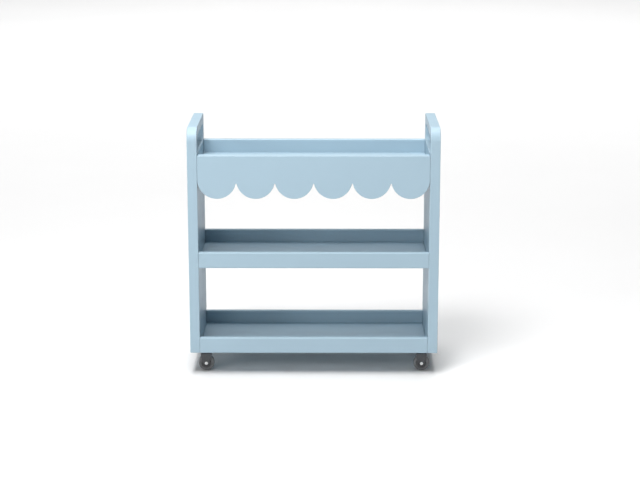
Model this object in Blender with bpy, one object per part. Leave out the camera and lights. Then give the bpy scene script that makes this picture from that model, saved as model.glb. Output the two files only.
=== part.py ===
"""Book cart: two side panels with handle openings, three trays between them and four swivel casters.

Run with: blender --background --python part.py

Units are metres. +Z is up, +X runs along the cart from its left panel to its right one, and the
scalloped front faces -Y. The origin is on the floor under the middle of the cart.
"""
import math

import bmesh
import bpy
from mathutils import Matrix, Vector

# Overall size
WIDTH = 0.762
DEPTH = 0.305
HEIGHT = 0.771
GAP = 0.0003                       # clearance left between pieces that touch
OVERSHOOT = 0.002                  # how far a cutter runs on past the face it enters
SMOOTH_ANGLE = math.radians(35)    # edges sharper than this stay sharp in shading

# Side panels
PANEL_THICKNESS = 0.030
PANEL_FRONT_RADIUS = 0.040         # top corner at the front
PANEL_REAR_RADIUS = 0.010          # top corner at the back
PANEL_CORNER_STEPS = 8
PANEL_EASE = 0.0015                # chamfer along the panel's edges
HANDLE_FRAME = 0.030               # material left in front of and behind the handle opening
HANDLE_TOP = 0.742
HANDLE_CORNER_RADIUS = 0.016
HANDLE_CORNER_STEPS = 4

# Trays: each one is a floor between a front and a back board
TRAY_BASES = {"bottom": 0.070, "middle": 0.340, "top": 0.634}
TRAY_HEIGHT = 0.0545
LIP_HEIGHT = 0.0497                # the shelves' front lips are a little lower than their back boards
FLOOR_THICKNESSES = {"bottom": 0.016, "middle": 0.016, "top": 0.0125}
BOARD_THICKNESS = 0.018
BOARD_EASE = 0.0012
CLEAR_WIDTH = WIDTH - 2 * PANEL_THICKNESS
BOARD_LENGTH = CLEAR_WIDTH - 2 * GAP
HANDLE_BOTTOM = TRAY_BASES["top"] + TRAY_HEIGHT

# Scalloped board at the front of the top tray
SCALLOP_COUNT = 6
SCALLOP_DROP = 0.132               # from the board's top edge to the lowest point of a scallop
SCALLOP_THICKNESS = PANEL_THICKNESS
SCALLOP_STEPS = 14
SCALLOP_RADIUS = BOARD_LENGTH / SCALLOP_COUNT / 2
NOTCH_RADIUS = 0.0015              # the notch between two scallops, touching both of them
NOTCH_STEPS = 2

# Connector screws through the side panels into the ends of the boards
SCREW_SEGMENTS = 12
SCREW_INSET = 0.0105               # from the cart's front or back face to the nearest screw axes
SCREW_RISE = 0.025                 # from a tray's base to its screws
SCREW_SHANK_RADIUS = 0.0028
SCREW_HEAD_RADIUS = 0.0046
SCREW_HEAD_HEIGHT = 0.0036
SCREW_SOCKET_RADIUS = 0.0022
SCREW_SOCKET_DEPTH = 0.0020
SCREW_LENGTH = 0.048
SCREW_POINT = 0.004
SCREW_CLEARANCE = 0.0005

# Casters: where they stand
CASTER_INSET_X = 0.046             # from the cart's end to the swivel axis
CASTER_INSET_Y = 0.054             # from the cart's front or back face to the swivel axis
BOLT_SEGMENTS = 12                 # bolts, nuts and the holes they go through
RING_SEGMENTS = 16                 # races, inserts and wheel cores

# Wheel and axle. Half widths run along the axle, from the wheel's middle
WHEEL_RADIUS = 0.0245
WHEEL_SEGMENTS = 32
TYRE_HALF_WIDTH = 0.0090
TYRE_INNER_RADIUS = 0.0145
TYRE_SHOULDER = 0.0020
CORE_RIM_RADIUS = 0.0142
CORE_RIM_HALF_WIDTH = 0.0080
CORE_WEB_RADIUS = 0.0118
CORE_WEB_HALF_WIDTH = 0.0050
HUB_RADIUS = 0.0065
HUB_HALF_WIDTH = 0.0100
BORE_RADIUS = 0.0034
AXLE_RADIUS = 0.0030
AXLE_HEAD_RADIUS = 0.0050
AXLE_HEAD_HEIGHT = 0.0028
AXLE_DOME_STEPS = 3
AXLE_REACH = 0.0060                # from the fork's outer face to the axle's plain end
NUT_RADIUS = 0.0058
NUT_THICKNESS = 0.0045
NUT_CHAMFER = 0.0008

# Fork and swivel. Heights are above the floor
FORK_WIDTH = 0.033
FORK_INNER_HALF = 0.0105
FORK_OUTER_HALF = 0.0130
FORK_EYE_RADIUS = 0.0080
FORK_EYE_STEPS = 6
FORK_SHOULDER_Z = 0.0455
CROWN_TOP = 0.0575
CROWN_THICKNESS = 0.0030
CROWN_CHAMFER = 0.0020
RACE_RADIUS = 0.0150
RACE_RIM_HEIGHT = 0.0025
RACE_SHOULDER_RADIUS = 0.0110
RACE_TOP = 0.0635
STEM_RADIUS = 0.0040
STEM_BORE_RADIUS = 0.0045
STEM_COLLAR_RADIUS = 0.0075
STEM_TIP_CLEARANCE = 0.0010        # from the stem's tip to the end of its hole
RIVET_RADIUS = 0.0062              # the stem's spread end, under the crown
RIVET_LOW_RADIUS = 0.0050
RIVET_HEIGHT = 0.0021
RIVET_GAP = 0.0004
INSERT_FLANGE_RADIUS = 0.0110
INSERT_FLANGE_THICKNESS = 0.0014
INSERT_BARREL_RADIUS = 0.0058
INSERT_HOLE_RADIUS = 0.0062
INSERT_HOLE_DEPTH = 0.0115

CORNERS = {
    "front_left": (-1, -1),
    "front_right": (1, -1),
    "rear_left": (-1, 1),
    "rear_right": (1, 1),
}
SIDES = {"left": -1, "right": 1}


# ---------------------------------------------------------------- materials

def material(name, colour, roughness, metallic=0.0):
    """A Principled material with one colour and finish."""
    made = bpy.data.materials.new(name)
    made.use_nodes = True
    shader = made.node_tree.nodes["Principled BSDF"]
    shader.inputs["Base Color"].default_value = (*colour, 1.0)
    shader.inputs["Roughness"].default_value = roughness
    shader.inputs["Metallic"].default_value = metallic
    made.diffuse_color = (*colour, 1.0)
    return made


def make_materials():
    """The cart's finishes: pale blue paint, dark caster parts and bright steel."""
    return {
        "panel_paint": material("panel_paint", (0.47, 0.64, 0.76), 0.45),
        "tray_paint": material("tray_paint", (0.47, 0.64, 0.76), 0.45),
        "screw_paint": material("screw_paint", (0.47, 0.64, 0.76), 0.40),
        "zinc": material("zinc", (0.62, 0.64, 0.66), 0.35, 1.0),
        "bright_steel": material("bright_steel", (0.80, 0.81, 0.82), 0.22, 1.0),
        "fork_black": material("fork_black", (0.050, 0.054, 0.060), 0.42),
        "core_grey": material("core_grey", (0.060, 0.066, 0.074), 0.50),
        "tyre_grey": material("tyre_grey", (0.085, 0.090, 0.098), 0.62),
    }


# ---------------------------------------------------------------- mesh helpers

def clear_scene():
    """Remove whatever the scene holds."""
    for item in list(bpy.data.objects):
        bpy.data.objects.remove(item, do_unlink=True)


def add_object(name, mesh, surface, parent=None):
    """Link an object that shows the mesh with one material."""
    item = bpy.data.objects.new(name, mesh)
    bpy.context.scene.collection.objects.link(item)
    if surface and not mesh.materials:
        mesh.materials.append(surface)
    if parent:
        item.parent = parent
    return item


def finish_mesh(bm, name, smooth=False):
    """Turn a bmesh into a mesh with outward normals."""
    bmesh.ops.recalc_face_normals(bm, faces=bm.faces)
    mesh = bpy.data.meshes.new(name)
    bm.to_mesh(mesh)
    bm.free()
    if smooth:
        mesh.shade_smooth()
        mesh.set_sharp_from_angle(angle=SMOOTH_ANGLE)
    return mesh


def block_mesh(name, size_x, size_y, size_z):
    """A box centred on the origin."""
    bm = bmesh.new()
    bmesh.ops.create_cube(bm, size=1.0, matrix=Matrix.Diagonal((size_x, size_y, size_z, 1.0)))
    return finish_mesh(bm, name)


def arc(centre, radius, start, end, steps):
    """Points along an arc, both ends included; angles in radians."""
    points = []
    for step in range(steps + 1):
        angle = start + (end - start) * step / steps
        points.append((centre[0] + radius * math.cos(angle), centre[1] + radius * math.sin(angle)))
    return points


def sheet_mesh(name, outlines, thickness, matrix):
    """A flat board cut to the first outline, with the other outlines as holes.

    The outlines lie in local XY, the thickness is centred on local Z, and matrix places the board.
    """
    bm = bmesh.new()
    for outline in outlines:
        loop = [bm.verts.new((x, y, -thickness / 2)) for x, y in outline]
        for index, vert in enumerate(loop):
            bm.edges.new((vert, loop[(index + 1) % len(loop)]))
    bmesh.ops.triangle_fill(bm, use_beauty=True, use_dissolve=False, edges=bm.edges)
    made = bmesh.ops.extrude_face_region(bm, geom=bm.faces[:])
    lifted = [part for part in made["geom"] if isinstance(part, bmesh.types.BMVert)]
    bmesh.ops.translate(bm, verts=lifted, vec=(0, 0, thickness))
    bmesh.ops.transform(bm, verts=bm.verts, matrix=matrix)
    return finish_mesh(bm, name)


def turned_mesh(name, profile, segments, closed=False, hex_rows=(), flat_down=False):
    """A body turned about Z from (radius, height) points, listed from one end to the other.

    A closed profile makes a ring, and an open one starts and ends on the axis. Rows listed in
    hex_rows are hexagons. flat_down turns the facets so that one faces -Y, and sizes them so that
    the facets, not their corners, lie at the stated radius.
    """
    bm = bmesh.new()
    half_step = math.pi / segments
    growth = 1 / math.cos(half_step) if flat_down else 1.0
    phase = half_step if flat_down else 0.0
    rows = []
    for index, (radius, height) in enumerate(profile):
        if radius == 0:
            rows.append([bm.verts.new((0, 0, height))])
            continue
        row = []
        for step in range(segments):
            angle = 2 * half_step * step + phase
            reach = radius * growth
            if index in hex_rows and step % 2:
                reach *= math.cos(math.pi / 6)
            row.append(bm.verts.new((reach * math.cos(angle), reach * math.sin(angle), height)))
        rows.append(row)
    pairs = list(zip(rows, rows[1:]))
    if closed:
        pairs.append((rows[-1], rows[0]))
    for lower, upper in pairs:
        bridge_rows(bm, lower, upper, segments)
    return finish_mesh(bm, name, smooth=True)


def bridge_rows(bm, lower, upper, segments):
    """Faces between two rows of a turned body, either of which may be a point on the axis."""
    for step in range(segments):
        following = (step + 1) % segments
        corners = []
        for row, order in ((lower, (step, following)), (upper, (following, step))):
            if len(row) == 1:
                corners.append(row[0])
            else:
                corners.extend(row[position] for position in order)
        bm.faces.new(corners)


def ease_edges(item, width):
    """Chamfer the square edges of a board."""
    bevel = item.modifiers.new("ease", "BEVEL")
    bevel.width = width
    bevel.segments = 1
    bevel.limit_method = "ANGLE"
    bevel.angle_limit = math.radians(60)


def cut(item, cutter):
    """Subtract a cutter, which stays in the scene as a hidden wire shape."""
    cutter.hide_render = True
    cutter.display_type = "WIRE"
    boolean = item.modifiers.new("cut_" + cutter.name, "BOOLEAN")
    boolean.operation = "DIFFERENCE"
    boolean.solver = "EXACT"
    boolean.object = cutter


def join_meshes(name, placed):
    """One mesh from (mesh, matrix) pairs whose shapes stay apart from each other."""
    bm = bmesh.new()
    for mesh, matrix in placed:
        copy = mesh.copy()
        copy.transform(matrix)
        bm.from_mesh(copy)
        bpy.data.meshes.remove(copy)
    return finish_mesh(bm, name)


# ---------------------------------------------------------------- side panels

def panel_outline():
    """The panel's outer shape in (depth, height): square at the bottom, rounded at the top."""
    half = DEPTH / 2
    base = TRAY_BASES["bottom"]
    rear = (half - PANEL_REAR_RADIUS, HEIGHT - PANEL_REAR_RADIUS)
    front = (-half + PANEL_FRONT_RADIUS, HEIGHT - PANEL_FRONT_RADIUS)
    outline = [(-half, base), (half, base)]
    outline += arc(rear, PANEL_REAR_RADIUS, 0, math.pi / 2, PANEL_CORNER_STEPS)
    outline += arc(front, PANEL_FRONT_RADIUS, math.pi / 2, math.pi, PANEL_CORNER_STEPS)
    return outline


def handle_outline():
    """The handle opening: a rounded slot that starts level with the top tray's rim."""
    radius = HANDLE_CORNER_RADIUS
    reach = DEPTH / 2 - HANDLE_FRAME - radius
    low = HANDLE_BOTTOM + radius
    high = HANDLE_TOP - radius
    outline = []
    for quarter, (side, level) in enumerate(((1, high), (-1, high), (-1, low), (1, low))):
        start = quarter * math.pi / 2
        outline += arc((side * reach, level), radius, start, start + math.pi / 2, HANDLE_CORNER_STEPS)
    return outline


def screw_places(side):
    """Where the connector screws enter one side panel: name, then the point on its outer face."""
    places = []
    for tray, base in TRAY_BASES.items():
        front_inset = SCALLOP_THICKNESS / 2 if tray == "top" else SCREW_INSET
        front = -DEPTH / 2 + front_inset
        back = DEPTH / 2 - SCREW_INSET
        for end, depth in (("front", front), ("back", back)):
            point = Vector((side * WIDTH / 2, depth, base + SCREW_RISE))
            places.append((f"{tray}_{end}", point))
    return places


def screw_matrix(point, side):
    """Place a screw made along +Z so that its head is at the point and its shank runs inwards."""
    turn = Matrix.Rotation(-side * math.pi / 2, 4, "Y")
    return Matrix.Translation(point) @ turn


def screw_hole_mesh():
    """The stepped hole for one screw, running on past the panel into the board behind it."""
    bore = SCREW_SHANK_RADIUS + SCREW_CLEARANCE
    counterbore = SCREW_HEAD_RADIUS + SCREW_CLEARANCE
    shoulder = SCREW_HEAD_HEIGHT + 2 * GAP
    end = SCREW_LENGTH + SCREW_CLEARANCE
    profile = [
        (0, -OVERSHOOT), (counterbore, -OVERSHOOT), (counterbore, shoulder),
        (bore, shoulder), (bore, end), (0, end),
    ]
    return turned_mesh("screw_hole", profile, SCREW_SEGMENTS)


def screw_hole_cutter(side_name, side):
    """All the screw holes of one side, as a single cutter."""
    hole = screw_hole_mesh()
    placed = [(hole, screw_matrix(point, side)) for _, point in screw_places(side)]
    mesh = join_meshes(side_name + "_screw_holes", placed)
    return add_object(side_name + "_screw_holes", mesh, None)


def side_panel(side_name, side, cutter, surface):
    """One side panel, standing at its end of the cart."""
    upright = Matrix(((0, 0, 1, 0), (1, 0, 0, 0), (0, 1, 0, 0), (0, 0, 0, 1)))
    outlines = [panel_outline(), handle_outline()]
    mesh = sheet_mesh("side_panel_" + side_name, outlines, PANEL_THICKNESS, upright)
    panel = add_object("side_panel_" + side_name, mesh, surface)
    panel.location.x = side * (WIDTH - PANEL_THICKNESS) / 2
    ease_edges(panel, PANEL_EASE)
    cut(panel, cutter)


# ---------------------------------------------------------------- trays

def tray_board(name, depth, base, height, cutters, surface):
    """The straight board along a tray's front or back edge, drilled at both ends."""
    mesh = block_mesh(name, BOARD_LENGTH, BOARD_THICKNESS, height)
    board = add_object(name, mesh, surface)
    board.location = (0, depth, base + height / 2)
    ease_edges(board, BOARD_EASE)
    for cutter in cutters:
        cut(board, cutter)


def tray_floor(name, front, back, base, thickness, surface):
    """The board that the books stand on, between the front and back boards."""
    mesh = block_mesh(name, BOARD_LENGTH, back - front - 2 * GAP, thickness)
    floor = add_object(name, mesh, surface)
    floor.location = (0, (front + back) / 2, base + thickness / 2)
    return floor


def scallop_outline():
    """The scalloped board seen from the front: a straight top edge over a row of half circles.

    Between two half circles is a small round notch. The line from its centre to theirs leans by
    the angle at which the arcs meet, so that they run into each other without a corner.
    """
    half = BOARD_LENGTH / 2
    top = HANDLE_BOTTOM
    centre_z = top - SCALLOP_DROP + SCALLOP_RADIUS
    lean = math.acos(SCALLOP_RADIUS / (SCALLOP_RADIUS + NOTCH_RADIUS))
    notch_z = centre_z - (SCALLOP_RADIUS + NOTCH_RADIUS) * math.sin(lean)
    outline = [(half, top), (-half, top)]
    for index in range(SCALLOP_COUNT):
        centre = (-half + SCALLOP_RADIUS * (2 * index + 1), centre_z)
        last = index == SCALLOP_COUNT - 1
        start = math.pi if index == 0 else math.pi + lean
        end = 2 * math.pi if last else 2 * math.pi - lean
        outline += arc(centre, SCALLOP_RADIUS, start, end, SCALLOP_STEPS)
        if not last:
            notch = (centre[0] + SCALLOP_RADIUS, notch_z)
            outline += arc(notch, NOTCH_RADIUS, math.pi - lean, lean, NOTCH_STEPS)[1:-1]
    return outline


def scalloped_front(cutters, surface):
    """The thick board at the front of the top tray, whose lower edge hangs in six scallops."""
    facing_front = Matrix.Rotation(math.pi / 2, 4, "X")
    mesh = sheet_mesh("scalloped_front", [scallop_outline()], SCALLOP_THICKNESS, facing_front)
    board = add_object("scalloped_front", mesh, surface)
    board.location.y = -DEPTH / 2 + SCALLOP_THICKNESS / 2
    for cutter in cutters:
        cut(board, cutter)


def caster_place(corner):
    """The point on the floor under a caster's swivel axis."""
    side, end = CORNERS[corner]
    return Vector((side * (WIDTH / 2 - CASTER_INSET_X), end * (DEPTH / 2 - CASTER_INSET_Y), 0))


def drill_insert_holes(floor):
    """Blind holes in the bottom floor for the casters' threaded inserts."""
    base = TRAY_BASES["bottom"]
    profile = [
        (0, base - OVERSHOOT), (INSERT_HOLE_RADIUS, base - OVERSHOOT),
        (INSERT_HOLE_RADIUS, base + INSERT_HOLE_DEPTH), (0, base + INSERT_HOLE_DEPTH),
    ]
    hole = turned_mesh("insert_hole", profile, BOLT_SEGMENTS)
    placed = [(hole, Matrix.Translation(caster_place(corner))) for corner in CORNERS]
    cutter = add_object("insert_holes", join_meshes("insert_holes", placed), None)
    cut(floor, cutter)


def trays(cutters, surface):
    """The three trays. The top one has the scalloped board at its front."""
    board_depth = (DEPTH - BOARD_THICKNESS) / 2
    back = DEPTH / 2 - BOARD_THICKNESS
    for tray, base in TRAY_BASES.items():
        if tray == "top":
            front = -DEPTH / 2 + SCALLOP_THICKNESS
            scalloped_front(cutters, surface)
        else:
            front = -DEPTH / 2 + BOARD_THICKNESS
            lip = tray + "_shelf_front_lip"
            tray_board(lip, -board_depth, base, LIP_HEIGHT, cutters, surface)
        kind = "tray" if tray == "top" else "shelf"
        back_board = f"{tray}_{kind}_back_board"
        tray_board(back_board, board_depth, base, TRAY_HEIGHT, cutters, surface)
        thickness = FLOOR_THICKNESSES[tray]
        floor = tray_floor(f"{tray}_{kind}_floor", front, back, base, thickness, surface)
        if tray == "bottom":
            drill_insert_holes(floor)


# ---------------------------------------------------------------- connector screws

def screw_mesh():
    """A connector screw along +Z, with its flat head and hexagon socket at the origin's end."""
    face = GAP
    under_head = face + SCREW_HEAD_HEIGHT
    socket_floor = face + SCREW_SOCKET_DEPTH
    profile = [
        (0, socket_floor), (SCREW_SOCKET_RADIUS, socket_floor), (SCREW_SOCKET_RADIUS, face),
        (SCREW_HEAD_RADIUS, face), (SCREW_HEAD_RADIUS, under_head),
        (SCREW_SHANK_RADIUS, under_head), (SCREW_SHANK_RADIUS, SCREW_LENGTH - SCREW_POINT),
        (0, SCREW_LENGTH),
    ]
    return turned_mesh("connector_screw", profile, SCREW_SEGMENTS, hex_rows=(1, 2))


def connector_screws(surface):
    """Two screws through each side panel into each tray."""
    mesh = screw_mesh()
    for side_name, side in SIDES.items():
        for place_name, point in screw_places(side):
            screw = add_object(f"screw_{side_name}_{place_name}", mesh, surface)
            screw.matrix_world = screw_matrix(point, side)


# ---------------------------------------------------------------- casters

def tyre_mesh():
    """The tyre, turned about its own axis, with a flat facet down."""
    shoulder = WHEEL_RADIUS - TYRE_SHOULDER
    tread_half = TYRE_HALF_WIDTH - TYRE_SHOULDER
    profile = [
        (TYRE_INNER_RADIUS, -TYRE_HALF_WIDTH), (shoulder, -TYRE_HALF_WIDTH),
        (WHEEL_RADIUS, -tread_half), (WHEEL_RADIUS, tread_half),
        (shoulder, TYRE_HALF_WIDTH), (TYRE_INNER_RADIUS, TYRE_HALF_WIDTH),
    ]
    return turned_mesh("tyre", profile, WHEEL_SEGMENTS, closed=True, flat_down=True)


def core_mesh():
    """The wheel's moulded core: hub, web and rim."""
    side = [
        (BORE_RADIUS, HUB_HALF_WIDTH), (HUB_RADIUS, HUB_HALF_WIDTH),
        (HUB_RADIUS, CORE_WEB_HALF_WIDTH), (CORE_WEB_RADIUS, CORE_WEB_HALF_WIDTH),
        (CORE_WEB_RADIUS, CORE_RIM_HALF_WIDTH), (CORE_RIM_RADIUS, CORE_RIM_HALF_WIDTH),
    ]
    other_side = [(radius, -height) for radius, height in reversed(side)]
    return turned_mesh("wheel_core", side + other_side, RING_SEGMENTS, closed=True)


def axle_mesh():
    """The axle bolt: a domed head outside one fork leg and a plain shank through to the nut."""
    head_face = FORK_OUTER_HALF + GAP
    shank_end = -(FORK_OUTER_HALF + AXLE_REACH)
    profile = [(0, head_face + AXLE_HEAD_HEIGHT)]
    for step in range(AXLE_DOME_STEPS - 1, -1, -1):
        angle = math.pi / 2 * step / AXLE_DOME_STEPS
        height = head_face + AXLE_HEAD_HEIGHT * math.sin(angle)
        profile.append((AXLE_HEAD_RADIUS * math.cos(angle), height))
    profile += [(AXLE_RADIUS, head_face), (AXLE_RADIUS, shank_end), (0, shank_end)]
    return turned_mesh("axle", profile, BOLT_SEGMENTS)


def nut_mesh():
    """The hexagon nut on the axle's plain end."""
    inner = -(FORK_OUTER_HALF + GAP)
    outer = inner - NUT_THICKNESS
    profile = [
        (BORE_RADIUS, inner), (NUT_RADIUS, inner), (NUT_RADIUS, outer + NUT_CHAMFER),
        (NUT_RADIUS - NUT_CHAMFER, outer), (BORE_RADIUS, outer),
    ]
    return turned_mesh("axle_nut", profile, BOLT_SEGMENTS, closed=True, hex_rows=(1, 2))


def race_mesh():
    """The swivel race: the domed cup that the fork's crown turns against."""
    low = CROWN_TOP + GAP
    profile = [
        (STEM_BORE_RADIUS, low), (RACE_RADIUS, low), (RACE_RADIUS, low + RACE_RIM_HEIGHT),
        (RACE_SHOULDER_RADIUS, RACE_TOP), (STEM_BORE_RADIUS, RACE_TOP),
    ]
    return turned_mesh("swivel_race", profile, RING_SEGMENTS, closed=True)


def stem_mesh():
    """The threaded stem: rivet head under the crown, hexagon collar, and shank up into the insert."""
    base = TRAY_BASES["bottom"]
    rivet_high = CROWN_TOP - CROWN_THICKNESS - RIVET_GAP
    rivet_low = rivet_high - RIVET_HEIGHT
    collar_low = RACE_TOP + GAP
    collar_high = base - INSERT_FLANGE_THICKNESS - 2 * GAP
    tip = base + INSERT_HOLE_DEPTH - STEM_TIP_CLEARANCE
    profile = [
        (0, rivet_low), (RIVET_LOW_RADIUS, rivet_low),
        (RIVET_RADIUS, rivet_high), (STEM_RADIUS, rivet_high),
        (STEM_RADIUS, collar_low), (STEM_COLLAR_RADIUS, collar_low),
        (STEM_COLLAR_RADIUS, collar_high), (STEM_RADIUS, collar_high),
        (STEM_RADIUS, tip), (0, tip),
    ]
    return turned_mesh("stem", profile, BOLT_SEGMENTS, hex_rows=(5, 6))


def insert_mesh():
    """The threaded insert in the bottom floor, with its flange against the floor's underside."""
    base = TRAY_BASES["bottom"]
    flange_low = base - GAP - INSERT_FLANGE_THICKNESS
    flange_high = base - GAP
    top = base + INSERT_HOLE_DEPTH - GAP
    profile = [
        (STEM_BORE_RADIUS, flange_low), (INSERT_FLANGE_RADIUS, flange_low),
        (INSERT_FLANGE_RADIUS, flange_high), (INSERT_BARREL_RADIUS, flange_high),
        (INSERT_BARREL_RADIUS, top), (STEM_BORE_RADIUS, top),
    ]
    return turned_mesh("threaded_insert", profile, RING_SEGMENTS, closed=True)


def fork_outline():
    """The fork seen from the side of its wheel: wide crown, tapering to an eye around the axle."""
    half = FORK_WIDTH / 2
    flat = half - CROWN_CHAMFER
    chamfer_z = CROWN_TOP - CROWN_CHAMFER
    axle_z = WHEEL_RADIUS
    rise = FORK_SHOULDER_Z - axle_z
    towards_shoulder = math.atan2(rise, half)
    tangent = towards_shoulder - math.acos(FORK_EYE_RADIUS / math.hypot(half, rise))
    outline = arc((0, axle_z), FORK_EYE_RADIUS, -math.pi - tangent, tangent, FORK_EYE_STEPS)
    outline += [(half, FORK_SHOULDER_Z), (half, chamfer_z), (flat, CROWN_TOP)]
    outline += [(-flat, CROWN_TOP), (-half, chamfer_z), (-half, FORK_SHOULDER_Z)]
    return outline


def rod_mesh(name, radius, low, high):
    """A plain round rod along Z, for a cutter."""
    return turned_mesh(name, [(0, low), (radius, low), (radius, high), (0, high)], BOLT_SEGMENTS)


def fork_mesh():
    """The fork: a solid of the side outline, hollowed for the wheel and drilled for axle and stem."""
    facing_front = Matrix.Rotation(math.pi / 2, 4, "X")
    blank_mesh = sheet_mesh("fork", [fork_outline()], 2 * FORK_OUTER_HALF, facing_front)
    blank = add_object("fork_blank", blank_mesh, None)
    crown_under = CROWN_TOP - CROWN_THICKNESS
    slot_mesh = block_mesh("wheel_slot", 2 * FORK_WIDTH, 2 * FORK_INNER_HALF, crown_under)
    slot_mesh.transform(Matrix.Translation((0, 0, crown_under / 2)))
    reach = FORK_OUTER_HALF + OVERSHOOT
    axle_hole = rod_mesh("axle_hole", BORE_RADIUS, -reach, reach)
    axle_hole.transform(Matrix.Translation((0, 0, WHEEL_RADIUS)) @ facing_front)
    stem_hole = rod_mesh("stem_hole", STEM_BORE_RADIUS, crown_under - OVERSHOOT, CROWN_TOP + OVERSHOOT)
    cutters = [add_object(mesh.name, mesh, None) for mesh in (slot_mesh, axle_hole, stem_hole)]
    for cutter in cutters:
        cut(blank, cutter)
    graph = bpy.context.evaluated_depsgraph_get()
    made = bpy.data.meshes.new_from_object(blank.evaluated_get(graph))
    for item in [blank] + cutters:
        bpy.data.objects.remove(item, do_unlink=True)
    made.name = "fork"
    return made


def empty(name, place, parent=None):
    """An empty on a joint's axis."""
    made = bpy.data.objects.new(name, None)
    bpy.context.scene.collection.objects.link(made)
    made.empty_display_size = 0.02
    made.parent = parent
    made.location = place
    return made


def casters(materials):
    """Four casters. Each fork turns about its stem, and each wheel turns about its axle."""
    fixed = [
        ("threaded_insert", insert_mesh(), "zinc"),
        ("stem", stem_mesh(), "zinc"),
        ("swivel_race", race_mesh(), "fork_black"),
    ]
    fork = fork_mesh()
    swivelling = [("axle", axle_mesh(), "bright_steel"), ("axle_nut", nut_mesh(), "zinc")]
    wheel = [("wheel_core", core_mesh(), "core_grey"), ("tyre", tyre_mesh(), "tyre_grey")]
    along_depth = Matrix.Rotation(math.pi / 2, 4, "X")
    for _, mesh, _ in swivelling + wheel:
        mesh.transform(along_depth)
    for corner, (_, end) in CORNERS.items():
        swivel = empty(corner + "_swivel_axis", caster_place(corner))
        if end > 0:
            swivel.rotation_euler.z = math.pi
        hub = empty(corner + "_wheel_axis", (0, 0, WHEEL_RADIUS), swivel)
        for name, mesh, slot in fixed:
            add_object(f"{corner}_{name}", mesh, materials[slot], swivel)
        add_object(corner + "_fork", fork, materials["fork_black"], swivel)
        for name, mesh, slot in swivelling + wheel:
            add_object(f"{corner}_{name}", mesh, materials[slot], hub)


# ---------------------------------------------------------------- assembly

def main():
    """Build the whole cart."""
    clear_scene()
    materials = make_materials()
    cutters = []
    for side_name, side in SIDES.items():
        cutter = screw_hole_cutter(side_name, side)
        side_panel(side_name, side, cutter, materials["panel_paint"])
        cutters.append(cutter)
    trays(cutters, materials["tray_paint"])
    connector_screws(materials["screw_paint"])
    casters(materials)


main()
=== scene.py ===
"""Looks of the book cart: rounded painted boards, fine casters, a pale studio and the camera.

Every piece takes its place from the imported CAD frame. Units are metres, +Z is up, and the
scalloped front faces -Y.
"""

import math

import bmesh
import bpy
from mathutils import Matrix, Vector


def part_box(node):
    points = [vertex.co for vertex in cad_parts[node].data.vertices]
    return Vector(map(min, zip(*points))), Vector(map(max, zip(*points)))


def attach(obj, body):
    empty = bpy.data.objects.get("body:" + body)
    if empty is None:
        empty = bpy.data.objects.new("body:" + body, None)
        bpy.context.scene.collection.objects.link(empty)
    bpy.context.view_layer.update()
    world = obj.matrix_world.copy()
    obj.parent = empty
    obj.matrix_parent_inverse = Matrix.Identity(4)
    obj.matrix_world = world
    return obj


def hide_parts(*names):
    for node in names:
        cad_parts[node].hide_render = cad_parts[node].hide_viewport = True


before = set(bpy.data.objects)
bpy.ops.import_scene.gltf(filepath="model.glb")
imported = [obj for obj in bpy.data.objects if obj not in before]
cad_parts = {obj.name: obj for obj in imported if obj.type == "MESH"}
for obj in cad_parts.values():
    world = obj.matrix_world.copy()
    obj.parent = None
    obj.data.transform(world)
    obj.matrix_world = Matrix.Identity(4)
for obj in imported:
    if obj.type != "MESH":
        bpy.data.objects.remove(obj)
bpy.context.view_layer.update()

GAP = 0.0003                      # clearance between pieces that touch
OVERSHOOT = 0.001                 # how far a cutter or a blank runs on past the face it meets

# Finishes
PAINT = (0.330, 0.449, 0.530)
PAINT_SPECULAR = 0.3
PAINT_ROUGHNESS = (0.36, 0.48)    # from the glossiest patches to the dullest ones
EDGE_HIGHLIGHT_STRENGTH = 0.16              # how far the painted highlight along a rounded edge takes the paint towards white

# Edge rounding of the painted boards
ROUND_STEPS = 5
PANEL_ROUND = 0.0020
BOARD_ROUND = 0.0014
FLOOR_ROUND = 0.0018
SCALLOP_ROUND = 0.0016

# Side panels
PANEL_FRONT_RADIUS = 0.040
PANEL_REAR_RADIUS = 0.010
PANEL_FOOT_RADIUS = 0.0045
HANDLE_FRAME = 0.030
HANDLE_TOP = 0.742
HANDLE_CORNER_RADIUS = 0.016
ARC_STEPS = 14
SMALLEST_RADIUS = 1e-5            # a rounded corner never closes to a point

# Boards and scallops
BOARD_CORNER_RADIUS = 0.0040
CORNER_STEPS = 6
SCALLOP_COUNT = 6
SCALLOP_STEPS = 40
FLOOR_CORNER_RADIUS = 0.002
FLOOR_CORNER_STEPS = 3
NOTCH_RADIUS = 0.0015
NOTCH_STEPS = 8

# Connector screws
SCREW_SEGMENTS = 48
SCREW_SHANK_RADIUS = 0.0028
SCREW_HEAD_RADIUS = 0.0046
SCREW_HEAD_HEIGHT = 0.0036
SCREW_SOCKET_RADIUS = 0.0022
SCREW_SOCKET_DEPTH = 0.0020
SCREW_HEAD_EDGE = 0.0004          # chamfer round the head
SCREW_POINT = 0.004               # length of the pointed end
SCREW_CLEARANCE = 0.0005          # between a screw and the sides of its hole
SCREW_SEAT_GAP = 0.0006           # between a screw's head and the step in its hole
END_HOLE_DEPTH = 0.020            # of the screw holes in the ends of the boards
ROD_SEGMENTS = 24                 # cutters for the screw holes in the scalloped board

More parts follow.
